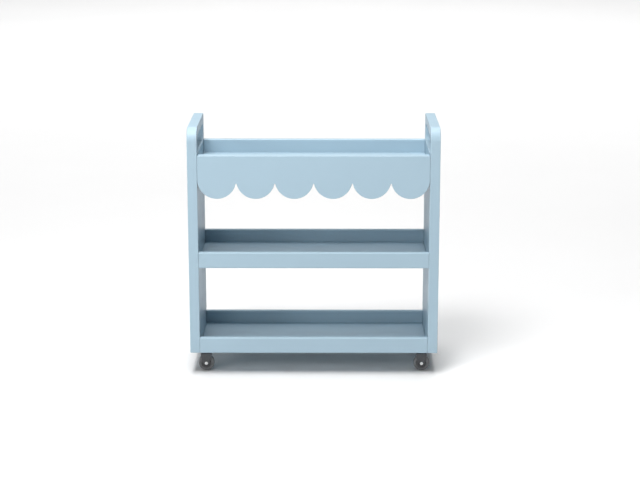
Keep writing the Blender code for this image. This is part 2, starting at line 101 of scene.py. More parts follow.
# Casters: measures from the floor up, or from the middle of a wheel or fork outwards
CASTER_SEGMENTS = 64
WHEEL_SEGMENTS = 96
BOLT_SEGMENTS = 48
HOLE_SEGMENTS = 40
AXLE_Z = 0.0245
BORE_RADIUS = 0.0034
TYRE_HALF_WIDTH = 0.0090
TYRE_SHOULDER = 0.0035            # radius of the round from the side wall to the tread
TYRE_SHOULDER_STEPS = 8
CORE_ROUND = 0.0007
AXLE_RADIUS = 0.0030
AXLE_HEAD_RADIUS = 0.0050
AXLE_HEAD_RIM = 0.0006            # straight edge of the head, below its dome
AXLE_DOME_HEIGHT = 0.0022
AXLE_DOME_TURNS = range(80, -1, -10)   # degrees above the dome's rim
AXLE_REACH = 0.0060               # from the fork's outer face to the axle's plain end
AXLE_CHAMFER = 0.0006
NUT_RADIUS = 0.0058
NUT_THICKNESS = 0.0045
CROWN_TOP = 0.0575
CROWN_UNDER = 0.0545
FORK_HALF_WIDTH = 0.0165
FORK_INNER_HALF = 0.0105
FORK_OUTER_HALF = 0.0130
FORK_EYE_RADIUS = 0.0080
FORK_EYE_STEPS = 24
FORK_SHOULDER_Z = 0.0455
FORK_BEND_RADIUS = 0.0030         # outside the bends of the pressed strip
FORK_INNER_BEND = 0.0010          # inside them
FORK_INNER_STEPS = 4
FORK_CORNER_RADIUS = 0.0030       # top corners of the fork, from its side
FORK_BLANK_DEPTH = 0.020          # more than half the fork's width either way
FORK_EDGE = 0.0004                # bevel along the fork's edges
FORK_SHARP_ANGLE = math.radians(50)
STEM_BORE_RADIUS = 0.0045
STEM_HOLE = (0.050, 0.060)        # lower and upper end of the crown's cutter
STEM_RADIUS = 0.0040
STEM_RIVET_RADIUS = 0.0062        # spread end under the crown
STEM_COLLAR = (0.0638, 0.0680)    # lower and upper face of the hexagon collar
STEM_COLLAR_RADIUS = 0.0075
THREAD_PITCH = 0.00125
THREAD_DEPTH = 0.0005
THREAD_END = 0.001                # the plain tip above the last turn is at least this long
RACE_RADIUS = 0.0150
INSERT_FLANGE_RADIUS = 0.0110
INSERT_FLANGE_THICKNESS = 0.0014
INSERT_BARREL_RADIUS = 0.0058
INSERT_HOLE_RADIUS = 0.0062

# Camera: fitted so that the cart sits in the picture as it does in the photograph
CAMERA_PLACE = (0.039, -5.136, 1.624)
CAMERA_TILT = math.radians(13.48)
CAMERA_TURN = math.radians(0.228)
CAMERA_LENS = 94.95
SENSOR_WIDTH = 36.0

# Studio
FLOOR_SIZE = 160.0
FLOOR_COLOUR = (0.75, 0.75, 0.75)
CLIP_END = 500.0
HORIZON_LOW = 0.04                # the horizon is bright up to this sine of the elevation
HORIZON_HIGH = 0.12               # the sky is dim from this sine of the elevation
HORIZON_STRENGTH = 0.80
SKY_STRENGTH = 0.02

# Distant softboxes: name, azimuth, elevation and strength. Azimuth 0 shines from the front, and
# positive ones from the right.
SUN_SPREAD = 18.0
SUNS = (
    ("key_left", -48.0, 22.0, 0.36),
    ("key_front", -14.0, 22.0, 0.37),
    ("fill_right", 48.0, 22.0, 0.14),
    ("overhead", 0.0, 88.0, 1.58),
    ("back_high", 180.0, 60.0, 0.62),
    ("back_left", -135.0, 50.0, 0.16),
    ("back_right", 135.0, 50.0, 0.18),
)

# Near softboxes: name, place, the point it faces, size and watts
CART_MIDDLE = (0, 0, 0.40)
SOFTBOXES = (
    ("near_left", (-2.15, -2.15, 1.39), CART_MIDDLE, 1.2, 11.0),
    ("near_top", (-0.51, -1.41, 3.00), CART_MIDDLE, 1.2, 73.0),
    ("far_floor", (0, 8, 5), (0, 8, 0), 10.0, 270.0),
)


# ---------------------------------------------------------------- mesh helpers

def add_object(name, mesh, surface):
    """Link an object with one material."""
    item = bpy.data.objects.new(name, mesh)
    bpy.context.scene.collection.objects.link(item)
    if not mesh.materials:
        mesh.materials.append(surface)
    return item


def finish_mesh(bm, name, sharp_angle=35):
    """Turn a bmesh into a smooth-shaded mesh with outward normals."""
    bmesh.ops.recalc_face_normals(bm, faces=bm.faces)
    mesh = bpy.data.meshes.new(name)
    bm.to_mesh(mesh)
    bm.free()
    mesh.shade_smooth()
    mesh.set_sharp_from_angle(angle=math.radians(sharp_angle))
    return mesh


def weight_normals(item):
    """Keep large flat faces flat in shading, next to their rounded edges."""
    weighted = item.modifiers.new("flat_faces", "WEIGHTED_NORMAL")
    weighted.weight = 100
    weighted.keep_sharp = True


def arc(centre, radius, start, end, steps):
    """Points along an arc, both ends included; angles in radians."""
    points = []
    for step in range(steps + 1):
        angle = start + (end - start) * step / steps
        points.append((centre[0] + radius * math.cos(angle), centre[1] + radius * math.sin(angle)))
    return points


def rounded_rectangle(low, high, radii, inset, steps=ARC_STEPS):
    """A rectangle drawn inwards by inset. radii are for the corners from top right, anticlockwise."""
    outline = []
    corners = ((high[0], high[1]), (low[0], high[1]), (low[0], low[1]), (high[0], low[1]))
    signs = ((-1, -1), (1, -1), (1, 1), (-1, 1))
    for quarter, (corner, sign, radius) in enumerate(zip(corners, signs, radii)):
        centre = (corner[0] + sign[0] * radius, corner[1] + sign[1] * radius)
        start = quarter * math.pi / 2
        outline += arc(centre, max(radius - inset, SMALLEST_RADIUS), start, start + math.pi / 2, steps)
    return outline


def circle(centre, radius, segments):
    """Points round a full circle."""
    return arc(centre, radius, 0, 2 * math.pi, segments)[:-1]


def add_loop(bm, points, level, layer, value):
    """A closed loop of vertices at one depth through a board."""
    loop = []
    for u, v in points:
        vert = bm.verts.new((u, v, level))
        vert[layer] = value
        loop.append(vert)
    return loop


def bridge(bm, first, second):
    """A band of quads between two loops of equal length."""
    count = len(first)
    for index in range(count):
        following = (index + 1) % count
        bm.faces.new((first[index], first[following], second[following], second[index]))


def cap(bm, loops):
    """Fill the first loop with flat faces, leaving the other loops open."""
    edges = []
    for loop in loops:
        for index, vert in enumerate(loop):
            following = loop[(index + 1) % len(loop)]
            edges.append(bm.edges.get((vert, following)) or bm.edges.new((vert, following)))
    bmesh.ops.triangle_fill(bm, use_beauty=True, use_dissolve=False, edges=edges)


def board_mesh(name, outline, thickness, rounding, matrix, openings=(), holes=()):
    """A board cut to an outline, with every edge rounded, also inside its openings.

    outline and each opening are functions from a distance into the material to a list of points.
    holes are round: (centre, rows), where each row is a radius and a level through the board. The
    first row lies in one face, and a hole whose last row lies in the other face goes through.
    The point attribute for the painted edge highlight is 1 along the middle of each rounded edge.
    """
    bm = bmesh.new()
    layer = bm.verts.layers.float.new("edge_wear")
    half = thickness / 2
    rims = [[], []]
    for shape in (outline, *openings):
        loops = []
        for side in (-1, 1):
            turns = range(ROUND_STEPS + 1) if side < 0 else range(ROUND_STEPS, -1, -1)
            for step in turns:
                angle = math.pi / 2 * step / ROUND_STEPS
                inset = rounding * (1 - math.sin(angle))
                level = side * (half - rounding * (1 - math.cos(angle)))
                loops.append(add_loop(bm, shape(inset), level, layer, math.sin(2 * angle)))
        for first, second in zip(loops, loops[1:]):
            bridge(bm, first, second)
        rims[0].append(loops[0])
        rims[1].append(loops[-1])
    for centre, rows in holes:
        loops = [
            add_loop(bm, circle(centre, radius, SCREW_SEGMENTS), level, layer, 0.0)
            for radius, level in rows
        ]
        for first, second in zip(loops, loops[1:]):
            bridge(bm, first, second)
        mouth = 0 if rows[0][1] < 0 else 1
        rims[mouth].append(loops[0])
        if rows[0][1] + rows[-1][1] == 0:
            rims[1 - mouth].append(loops[-1])
        else:
            bm.faces.new(loops[-1])
    for loops in rims:
        cap(bm, loops)
    bmesh.ops.transform(bm, verts=bm.verts, matrix=matrix)
    return finish_mesh(bm, name)


def turned_mesh(name, profile, segments, closed=False, hex_rows=(), sharp_angle=35):
    """A body turned about Z from (radius, height) points. Rows in hex_rows are hexagons."""
    bm = bmesh.new()
    rows = []
    for index, (radius, height) in enumerate(profile):
        if radius == 0:
            rows.append([bm.verts.new((0, 0, height))])
            continue
        row = []
        for step in range(segments):
            angle = 2 * math.pi * step / segments
            reach = radius
            if index in hex_rows:
                swing = (angle + math.pi / 6) % (math.pi / 3) - math.pi / 6
                reach *= math.cos(math.pi / 6) / math.cos(math.pi / 6 - abs(swing))
            row.append(bm.verts.new((reach * math.cos(angle), reach * math.sin(angle), height)))
        rows.append(row)
    pairs = list(zip(rows, rows[1:]))
    if closed:
        pairs.append((rows[-1], rows[0]))
    for lower, upper in pairs:
        for step in range(segments):
            following = (step + 1) % segments
            corners = []
            for row, order in ((lower, (step, following)), (upper, (following, step))):
                corners += [row[0]] if len(row) == 1 else [row[place] for place in order]
            bm.faces.new(corners)
    return finish_mesh(bm, name, sharp_angle)


def rounded_profile(points, rounding, steps=3, longest=0.45):
    """Soften the corners of a turned profile, leaving points on the axis as they are.

    No corner takes more than the part longest of the lines that meet in it.
    """
    softened = []
    count = len(points)
    for index, point in enumerate(points):
        if point[0] == 0:
            softened.append(point)
            continue
        here = Vector(point)
        before = Vector(points[index - 1]) - here
        after = Vector(points[(index + 1) % count]) - here
        reach = min(rounding, before.length * longest, after.length * longest)
        start = here + before.normalized() * reach
        end = here + after.normalized() * reach
        for step in range(steps + 1):
            part = step / steps
            bend = (1 - part) ** 2 * start + 2 * part * (1 - part) * here + part ** 2 * end
            softened.append(tuple(bend))
    return softened


# ---------------------------------------------------------------- materials

def node_kit(name, roughness, metallic=0.0):
    """A new material, its Principled shader and a function that adds and wires a node."""
    made = bpy.data.materials.new(name)
    made.use_nodes = True
    tree = made.node_tree
    shader = tree.nodes["Principled BSDF"]
    shader.inputs["Roughness"].default_value = roughness
    shader.inputs["Metallic"].default_value = metallic

    def add(kind, settings=None, **wires):
        node = tree.nodes.new(kind)
        for key, value in (settings or {}).items():
            if key in node.inputs:
                node.inputs[key].default_value = value
            else:
                setattr(node, key, value)
        for socket, source in wires.items():
            tree.links.new(source, node.inputs[socket.replace("_", " ")])
        return node

    return made, tree, shader, add


def object_noise(add, scale, detail=2.0, stretch=(1.0, 1.0, 1.0)):
    """Noise fixed to the object, with features about 1/scale metres across."""
    place = add("ShaderNodeTexCoord")
    mapping = add("ShaderNodeMapping", {"Scale": stretch}, Vector=place.outputs["Object"])
    settings = {"Scale": scale, "Detail": detail}
    noise = add("ShaderNodeTexNoise", settings, Vector=mapping.outputs["Vector"])
    return noise.outputs["Fac"]


def remap(add, value, low, high, start=0.3, end=0.7):
    """Stretch a noise value over a range."""
    settings = {"From Min": start, "From Max": end, "To Min": low, "To Max": high}
    return add("ShaderNodeMapRange", settings, Value=value).outputs["Result"]


def blend_colours(add, factor, first, second):
    """Mix two colours; either may be a constant or another node's output."""
    mixer = add("ShaderNodeMix", {"data_type": "RGBA"})
    tree = mixer.id_data
    tree.links.new(factor, mixer.inputs[0])
    for socket, colour in ((mixer.inputs[6], first), (mixer.inputs[7], second)):
        if isinstance(colour, bpy.types.NodeSocket):
            tree.links.new(colour, socket)
        else:
            socket.default_value = (*colour, 1.0)
    return mixer.outputs[2]


def scaled(colour, factor):
    """A colour made lighter or darker."""
    return tuple(min(part * factor, 1.0) for part in colour)


def bumps(add, shader, layers):
    """Stack bump layers: (height, strength, distance)."""
    normal = None
    for height, strength, distance in layers:
        settings = {"Strength": strength, "Distance": distance}
        wires = {"Height": height}
        if normal is not None:
            wires["Normal"] = normal
        normal = add("ShaderNodeBump", settings, **wires).outputs["Normal"]
    shader.id_data.links.new(normal, shader.inputs["Normal"])


def paint_material(name, colour, stretch):
    """Satin paint rolled on board: faint lap marks, orange peel, and a painted highlight that lightens
    the rounded edges in patches.
    """
    made, tree, shader, add = node_kit(name, sum(PAINT_ROUGHNESS) / 2)
    shader.inputs["Specular IOR Level"].default_value = PAINT_SPECULAR
    lap = remap(add, object_noise(add, 7.0, 3.0, stretch), 0.0, 1.0)
    mottled = blend_colours(add, lap, scaled(colour, 0.985), scaled(colour, 1.015))
    edge = add("ShaderNodeAttribute", {"attribute_name": "edge_wear"}).outputs["Fac"]
    patchy = remap(add, object_noise(add, 45.0, 4.0), 0.10, 0.55, 0.35, 0.65)
    # Painted highlight: along the rounded edges the paint goes towards white in patches, standing in
    # for light caught on the roundovers.
    highlight_mask = add("ShaderNodeMath", {"operation": "MULTIPLY"})
    tree.links.new(edge, highlight_mask.inputs[0])
    tree.links.new(patchy, highlight_mask.inputs[1])
    pale = tuple(part + (1.0 - part) * EDGE_HIGHLIGHT_STRENGTH for part in colour)
    tree.links.new(blend_colours(add, highlight_mask.outputs[0], mottled, pale), shader.inputs["Base Color"])
    sheen = remap(add, object_noise(add, 21.0, 4.0), *PAINT_ROUGHNESS)
    tree.links.new(sheen, shader.inputs["Roughness"])
    peel = object_noise(add, 330.0, 2.0)
    stipple = object_noise(add, 1500.0, 2.0)
    bumps(add, shader, [(peel, 0.16, 0.0003), (stipple, 0.10, 0.0001)])
    return made


def steel_material(name, colour, roughness, scratch_scale):
    """Plated steel with fine turning marks and uneven gloss."""
    made, tree, shader, add = node_kit(name, roughness, 1.0)
    cloud = remap(add, object_noise(add, 160.0, 4.0), 0.0, 1.0)
    tint = blend_colours(add, cloud, scaled(colour, 0.90), scaled(colour, 1.04))
    tree.links.new(tint, shader.inputs["Base Color"])
    gloss = remap(add, object_noise(add, 420.0, 3.0), roughness * 0.75, roughness * 1.35)
    tree.links.new(gloss, shader.inputs["Roughness"])
    scratches = object_noise(add, scratch_scale, 3.0, (1.0, 1.0, 9.0))
    bumps(add, shader, [(scratches, 0.12, 0.00005)])
    return made


def coated_material(name, colour, roughness):
    """Powder coat on the forks and races: fine pebbled grain over dark steel."""
    made, tree, shader, add = node_kit(name, roughness)
    cloud = remap(add, object_noise(add, 120.0, 3.0), 0.0, 1.0)
    tint = blend_colours(add, cloud, scaled(colour, 0.85), scaled(colour, 1.2))
    tree.links.new(tint, shader.inputs["Base Color"])
    gloss = remap(add, object_noise(add, 300.0, 3.0), roughness - 0.06, roughness + 0.08)
    tree.links.new(gloss, shader.inputs["Roughness"])
    grain = object_noise(add, 2600.0, 2.0)
    bumps(add, shader, [(grain, 0.35, 0.0001)])
    return made


def moulded_material(name, colour, dusty, roughness):
    """Moulded plastic or rubber: matte skin, faint flow marks and a little dust."""
    made, tree, shader, add = node_kit(name, roughness)
    flow = remap(add, object_noise(add, 90.0, 4.0), 0.0, 1.0)
    base = blend_colours(add, flow, scaled(colour, 0.88), scaled(colour, 1.12))
    specks = remap(add, object_noise(add, 700.0, 5.0), 0.0, 0.35, 0.52, 0.75)
    tree.links.new(blend_colours(add, specks, base, dusty), shader.inputs["Base Color"])
    skin = remap(add, object_noise(add, 260.0, 3.0), roughness - 0.08, roughness + 0.08)
    tree.links.new(skin, shader.inputs["Roughness"])
    grain = object_noise(add, 1900.0, 3.0)
    bumps(add, shader, [(grain, 0.25, 0.0001)])
    return made


def floor_material():
    """A pale seamless studio floor with the faintest unevenness."""
    made, tree, shader, add = node_kit("studio_floor", 0.9)
    cloud = remap(add, object_noise(add, 0.8, 3.0), 0.0, 1.0)
    tint = blend_colours(add, cloud, scaled(FLOOR_COLOUR, 0.99), scaled(FLOOR_COLOUR, 1.01))
    tree.links.new(tint, shader.inputs["Base Color"])
    shader.inputs["Specular IOR Level"].default_value = 0.0
    return made


MATERIALS = {
    "panel_paint": paint_material("panel_paint", PAINT, (1.0, 1.0, 0.35)),
    "tray_paint": paint_material("tray_paint", PAINT, (0.35, 1.0, 1.0)),
    "screw_paint": paint_material("screw_paint", PAINT, (1.0, 1.0, 1.0)),
    "zinc": steel_material("zinc", (0.62, 0.64, 0.67), 0.34, 900.0),
    "bright_steel": steel_material("bright_steel", (0.95, 0.95, 0.95), 0.55, 1200.0),
    "fork_black": coated_material("fork_black", (0.058, 0.061, 0.066), 0.42),
    "core_grey": moulded_material("core_grey", (0.088, 0.091, 0.096), (0.16, 0.16, 0.16), 0.48),
    "tyre_grey": moulded_material("tyre_grey", (0.138, 0.141, 0.146), (0.24, 0.24, 0.23), 0.62),
}


# ---------------------------------------------------------------- boards

def screw_places(side):
    """The (depth, height) of each connector screw in one side panel, from the CAD screws."""
    places = {}
    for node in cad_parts:
        if node.startswith(f"screw_{side}_"):
            low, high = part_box(node)
            places[node] = ((low.y + high.y) / 2, (low.z + high.z) / 2)
    return places


def place_board(name, mesh, slot, node):
    """Add a board that stands for a CAD node and rides on the cart's frame."""
    board = add_object(name, mesh, MATERIALS[slot])
    weight_normals(board)
    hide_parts(node)
    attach(board, "frame")
    return board


def side_panel(side):
    """A side panel with rounded top corners, a handle opening and stepped screw holes."""
    node = "side_panel_" + side
    low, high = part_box(node)
    thickness = high.x - low.x
    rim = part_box("top_tray_back_board")[1].z
    corner_radii = (PANEL_REAR_RADIUS, PANEL_FRONT_RADIUS, PANEL_FOOT_RADIUS, PANEL_FOOT_RADIUS)
    slot_low = (low.y + HANDLE_FRAME, rim)
    slot_high = (high.y - HANDLE_FRAME, HANDLE_TOP)
    slot_radii = (HANDLE_CORNER_RADIUS,) * 4

    def outline(inset):
        return rounded_rectangle((low.y, low.z), (high.y, high.z), corner_radii, inset)

    def opening(inset):
        return rounded_rectangle(slot_low, slot_high, slot_radii, -inset)

    half = thickness / 2
    wide = SCREW_HEAD_RADIUS + SCREW_CLEARANCE
    narrow = SCREW_SHANK_RADIUS + SCREW_CLEARANCE
    shoulder = SCREW_HEAD_HEIGHT + SCREW_SEAT_GAP - half
    rows = ((wide, -half), (wide, shoulder), (narrow, shoulder), (narrow, half))
    holes = [(place, rows) for place in screw_places(side).values()]
    outwards = 1 if side == "left" else -1
    middle = (low.x + high.x) / 2
    matrix = Matrix(((0, 0, outwards, middle), (1, 0, 0, 0), (0, 1, 0, 0), (0, 0, 0, 1)))
    mesh = board_mesh(node + "_visual", outline, thickness, PANEL_ROUND, matrix, [opening], holes)
    place_board(node + "_visual", mesh, "panel_paint", node)


def end_holes(points, thickness):
    """Blind screw holes in both ends of a board, for board_mesh."""
    bore = SCREW_SHANK_RADIUS + SCREW_CLEARANCE
    half = thickness / 2
    holes = []
    for end in (-1, 1):
        rows = ((bore, end * half), (bore, end * (half - END_HOLE_DEPTH)))
        holes += [(point, rows) for point in points]
    return holes


def straight_board(node, screw):
    """A lip or back board: a rounded bar with a screw hole in each end."""
    low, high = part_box(node)
    length = high.x - low.x
    screw_low, screw_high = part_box(screw)
    middle = (screw_low + screw_high) / 2
    radii = (BOARD_CORNER_RADIUS,) * 4

    def outline(inset):
        return rounded_rectangle((low.y, low.z), (high.y, high.z), radii, inset, CORNER_STEPS)

    along = Matrix(((0, 0, 1, (low.x + high.x) / 2), (1, 0, 0, 0), (0, 1, 0, 0), (0, 0, 0, 1)))
    holes = end_holes([(middle.y, middle.z)], length)
    mesh = board_mesh(node + "_visual", outline, length, BOARD_ROUND, along, (), holes)
    place_board(node + "_visual", mesh, "tray_paint", node)


def tray_floor(node, insert_nodes=()):
    """A tray's floor, its edges just broken, with blind holes below for any caster inserts."""
    low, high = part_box(node)
    thickness = high.z - low.z
    half = thickness / 2
    radii = (FLOOR_CORNER_RADIUS,) * 4

    def outline(inset):
        return rounded_rectangle((low.x, low.y), (high.x, high.y), radii, inset, FLOOR_CORNER_STEPS)

    holes = []
    for insert in insert_nodes:
        insert_low, insert_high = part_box(insert)
        middle = (insert_low + insert_high) / 2
        roof = insert_high.z + GAP - low.z - half
        rows = ((INSERT_HOLE_RADIUS, -half), (INSERT_HOLE_RADIUS, roof))
        holes.append(((middle.x, middle.y), rows))
    lift = Matrix.Translation((0, 0, low.z + half))
    mesh = board_mesh(node + "_visual", outline, thickness, FLOOR_ROUND, lift, (), holes)
    place_board(node + "_visual", mesh, "tray_paint", node)


def scallop_outline(low, high, inset):
    """The scalloped board from the front: a straight top over half circles with round notches."""
    radius = (high.x - low.x) / SCALLOP_COUNT / 2
    centre_z = low.z + radius
    lean = math.acos(radius / (radius + NOTCH_RADIUS))
    notch_z = centre_z - (radius + NOTCH_RADIUS) * math.sin(lean)
    corner = BOARD_CORNER_RADIUS
    right = (high.x - corner, high.z - corner)
    left = (low.x + corner, high.z - corner)
    outline = arc(right, corner - inset, 0, math.pi / 2, CORNER_STEPS)
    outline += arc(left, corner - inset, math.pi / 2, math.pi, CORNER_STEPS)
    for index in range(SCALLOP_COUNT):
        centre_x = low.x + radius * (2 * index + 1)
        last = index == SCALLOP_COUNT - 1
        start = math.pi if index == 0 else math.pi + lean
        end = 2 * math.pi if last else 2 * math.pi - lean
        outline += arc((centre_x, centre_z), radius - inset, start, end, SCALLOP_STEPS)
        if not last:
            notch = (centre_x + radius, notch_z)
            outline += arc(notch, NOTCH_RADIUS + inset, math.pi - lean, lean, NOTCH_STEPS)[1:-1]
    return outline


def rod_profile(radius, low, high):
    """The profile of a plain rod, to turn into a cutter."""
    return [(0, low), (radius, low), (radius, high), (0, high)]


def drill(item, cutter):
    """Subtract a cutter from a piece for good."""
    boolean = item.modifiers.new("drill", "BOOLEAN")
    boolean.operation = "DIFFERENCE"
    boolean.object = cutter
    graph = bpy.context.evaluated_depsgraph_get()
    item.data = bpy.data.meshes.new_from_object(item.evaluated_get(graph))
    item.modifiers.clear()
    bpy.data.objects.remove(cutter, do_unlink=True)


def scalloped_front():
    """The thick board at the front of the top tray, with its row of scallops."""
    node = "scalloped_front"
    low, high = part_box(node)
    thickness = high.y - low.y
    upright = Matrix(((1, 0, 0, 0), (0, 0, -1, (low.y + high.y) / 2), (0, 1, 0, 0), (0, 0, 0, 1)))

    def outline(inset):
        return scallop_outline(low, high, inset)

    mesh = board_mesh(node + "_visual", outline, thickness, SCALLOP_ROUND, upright)
    board = add_object(node + "_visual", mesh, MATERIALS["tray_paint"])
    for screw in ("screw_left_top_front", "screw_right_top_front"):
        screw_low, screw_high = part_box(screw)
        middle = (screw_low + screw_high) / 2
        reach = (screw_high.x - screw_low.x) / 2 + OVERSHOOT
        bore = SCREW_SHANK_RADIUS + SCREW_CLEARANCE
        rod = turned_mesh("rod", rod_profile(bore, -reach, reach), ROD_SEGMENTS)
        rod.transform(Matrix.Translation(middle) @ Matrix.Rotation(math.pi / 2, 4, "Y"))
        cutter = bpy.data.objects.new("rod", rod)
        bpy.context.scene.collection.objects.link(cutter)
        drill(board, cutter)
    board.data.name = node + "_visual"
    weight_normals(board)
    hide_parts(node)
    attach(board, "frame")


def screws():
    """Connector screws with chamfered heads and hexagon sockets."""
    node_low, node_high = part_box("screw_left_top_front")
    length = node_high.x - node_low.x
    edge = SCREW_HEAD_EDGE
    profile = [
        (0, SCREW_SOCKET_DEPTH), (SCREW_SOCKET_RADIUS, SCREW_SOCKET_DEPTH),
        (SCREW_SOCKET_RADIUS, 0), (SCREW_HEAD_RADIUS - edge, 0), (SCREW_HEAD_RADIUS, edge),
        (SCREW_HEAD_RADIUS, SCREW_HEAD_HEIGHT), (SCREW_SHANK_RADIUS, SCREW_HEAD_HEIGHT),
        (SCREW_SHANK_RADIUS, length - SCREW_POINT), (0, length),
    ]
    mesh = turned_mesh("screw_visual", profile, SCREW_SEGMENTS, hex_rows=(1, 2))
    for side in ("left", "right"):
        inwards = 1 if side == "left" else -1
        for node, (depth, height) in screw_places(side).items():
            low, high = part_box(node)
            face = low.x if side == "left" else high.x
            screw = add_object(node + "_visual", mesh, MATERIALS["screw_paint"])
            screw.location = (face, depth, height)
            screw.rotation_euler.y = inwards * math.pi / 2
            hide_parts(node)
            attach(screw, "frame")


# ---------------------------------------------------------------- casters

def prism_mesh(name, outline, depth, matrix):
    """A flat outline pushed out to a depth on both sides."""
    bm = bmesh.new()
    rows = [[bm.verts.new((u, v, level)) for u, v in outline] for level in (-depth, depth)]
    bridge(bm, *rows)
    for row in rows:
        bm.faces.new(row)
    bmesh.ops.transform(bm, verts=bm.verts, matrix=matrix)
    return finish_mesh(bm, name)


def fork_side_outline():
    """The fork from its wheel's side: crown, shoulders, and a taper to an eye round the axle."""
    rise = FORK_SHOULDER_Z - AXLE_Z
    slope = math.atan2(rise, FORK_HALF_WIDTH)
    tangent = slope - math.acos(FORK_EYE_RADIUS / math.hypot(FORK_HALF_WIDTH, rise))
    corner = FORK_CORNER_RADIUS
    outline = arc((0, AXLE_Z), FORK_EYE_RADIUS, -math.pi - tangent, tangent, FORK_EYE_STEPS)
    outline.append((FORK_HALF_WIDTH, FORK_SHOULDER_Z))
    reach = FORK_HALF_WIDTH - corner
    outline += arc((reach, CROWN_TOP - corner), corner, 0, math.pi / 2, CORNER_STEPS)
    outline += arc((-reach, CROWN_TOP - corner), corner, math.pi / 2, math.pi, CORNER_STEPS)
    outline.append((-FORK_HALF_WIDTH, FORK_SHOULDER_Z))
    return outline


def fork_front_outline():
    """The bent strip of the fork from its front: an upside-down U with rounded bends."""
    bend = FORK_BEND_RADIUS
    inner_bend = FORK_INNER_BEND
    outer = FORK_OUTER_HALF - bend
    inner = FORK_INNER_HALF - inner_bend
    foot = AXLE_Z - FORK_EYE_RADIUS - OVERSHOOT
    outline = [(FORK_OUTER_HALF, foot)]
    outline += arc((outer, CROWN_TOP - bend), bend, 0, math.pi / 2, CORNER_STEPS)
    outline += arc((-outer, CROWN_TOP - bend), bend, math.pi / 2, math.pi, CORNER_STEPS)
    outline += [(-FORK_OUTER_HALF, foot), (-FORK_INNER_HALF, foot)]
    level = CROWN_UNDER - inner_bend
    outline += arc((-inner, level), inner_bend, math.pi, math.pi / 2, FORK_INNER_STEPS)
    outline += arc((inner, level), inner_bend, math.pi / 2, 0, FORK_INNER_STEPS)
    outline.append((FORK_INNER_HALF, foot))
    return outline


def fork_mesh():
    """The pressed fork: the bent strip cut to the side outline and drilled for axle and stem."""
    from_front = Matrix(((0, 0, 1, 0), (1, 0, 0, 0), (0, 1, 0, 0), (0, 0, 0, 1)))
    from_side = Matrix(((1, 0, 0, 0), (0, 0, -1, 0), (0, 1, 0, 0), (0, 0, 0, 1)))
    reach = FORK_BLANK_DEPTH
    strip = prism_mesh("fork_visual", fork_front_outline(), reach, from_front)
    shape = prism_mesh("fork_shape", fork_side_outline(), reach, from_side)
    axle_hole = turned_mesh("axle_hole", rod_profile(BORE_RADIUS, -reach, reach), HOLE_SEGMENTS)
    axle_hole.transform(Matrix.Translation((0, 0, AXLE_Z)) @ Matrix.Rotation(math.pi / 2, 4, "X"))
    stem_hole = turned_mesh("stem_hole", rod_profile(STEM_BORE_RADIUS, *STEM_HOLE), HOLE_SEGMENTS)
    blank = bpy.data.objects.new("fork_blank", strip)
    bpy.context.scene.collection.objects.link(blank)
    cutters = []
    for mesh, operation in ((shape, "INTERSECT"), (axle_hole, "DIFFERENCE"), (stem_hole, "DIFFERENCE")):
        cutter = bpy.data.objects.new(mesh.name, mesh)
        bpy.context.scene.collection.objects.link(cutter)
        boolean = blank.modifiers.new(mesh.name, "BOOLEAN")
        boolean.operation = operation
        boolean.object = cutter
        cutters.append(cutter)
    bevel = blank.modifiers.new("edges", "BEVEL")
    bevel.width = FORK_EDGE
    bevel.segments = 2
    bevel.limit_method = "ANGLE"
    bevel.angle_limit = FORK_SHARP_ANGLE
    graph = bpy.context.evaluated_depsgraph_get()
    mesh = bpy.data.meshes.new_from_object(blank.evaluated_get(graph))
    for item in [blank] + cutters:
        bpy.data.objects.remove(item, do_unlink=True)
    mesh.name = "fork_visual"
    mesh.shade_smooth()
    mesh.set_sharp_from_angle(angle=FORK_SHARP_ANGLE)
    return mesh


def tyre_mesh():
    """The tyre: a rounded tread and a raised ring on each side wall."""
    half = TYRE_HALF_WIDTH
    tread = AXLE_Z
    shoulder = TYRE_SHOULDER
    side = [
        (0.0145, half - 0.0034), (0.0152, half - 0.0012), (0.0160, half - 0.0002),
        (0.0164, half), (0.0188, half), (0.0192, half - 0.0008), (0.0198, half - 0.0008),
        (0.0202, half - 0.0002), (0.0205, half),
    ]
    corner = arc((half - shoulder, tread - shoulder), shoulder, 0, math.pi / 2, TYRE_SHOULDER_STEPS)
    side += [(radius, height) for height, radius in corner]
    other = [(radius, -height) for radius, height in reversed(side)]
    return turned_mesh("tyre_visual", side + other, WHEEL_SEGMENTS, closed=True)


def core_mesh():
    """The wheel core: hub, dished web and rim, with softened corners."""
    side = [
        (BORE_RADIUS, 0.0100), (0.0065, 0.0100), (0.0068, 0.0062),
        (0.0090, 0.0062), (0.0094, 0.0084), (0.0126, 0.0084), (0.0130, 0.0050), (0.0142, 0.0050),
    ]
    other = [(radius, -height) for radius, height in reversed(side)]
    profile = rounded_profile(side + other, CORE_ROUND)
    return turned_mesh("core_visual", profile, WHEEL_SEGMENTS, closed=True, sharp_angle=50)


def axle_mesh():
    """The axle bolt, with a bright domed head at its +Z end."""
    face = FORK_OUTER_HALF + GAP
    end = -(FORK_OUTER_HALF + AXLE_REACH)
    rim = face + AXLE_HEAD_RIM
    profile = [(0, rim + AXLE_DOME_HEIGHT)]
    for degrees in AXLE_DOME_TURNS:
        turn = math.radians(degrees)
        profile.append((AXLE_HEAD_RADIUS * math.cos(turn), rim + AXLE_DOME_HEIGHT * math.sin(turn)))
    profile += [
        (AXLE_HEAD_RADIUS, face), (AXLE_RADIUS, face), (AXLE_RADIUS, end + AXLE_CHAMFER),
        (AXLE_RADIUS - AXLE_CHAMFER, end), (0, end),
    ]
    return turned_mesh("axle_visual", profile, BOLT_SEGMENTS)


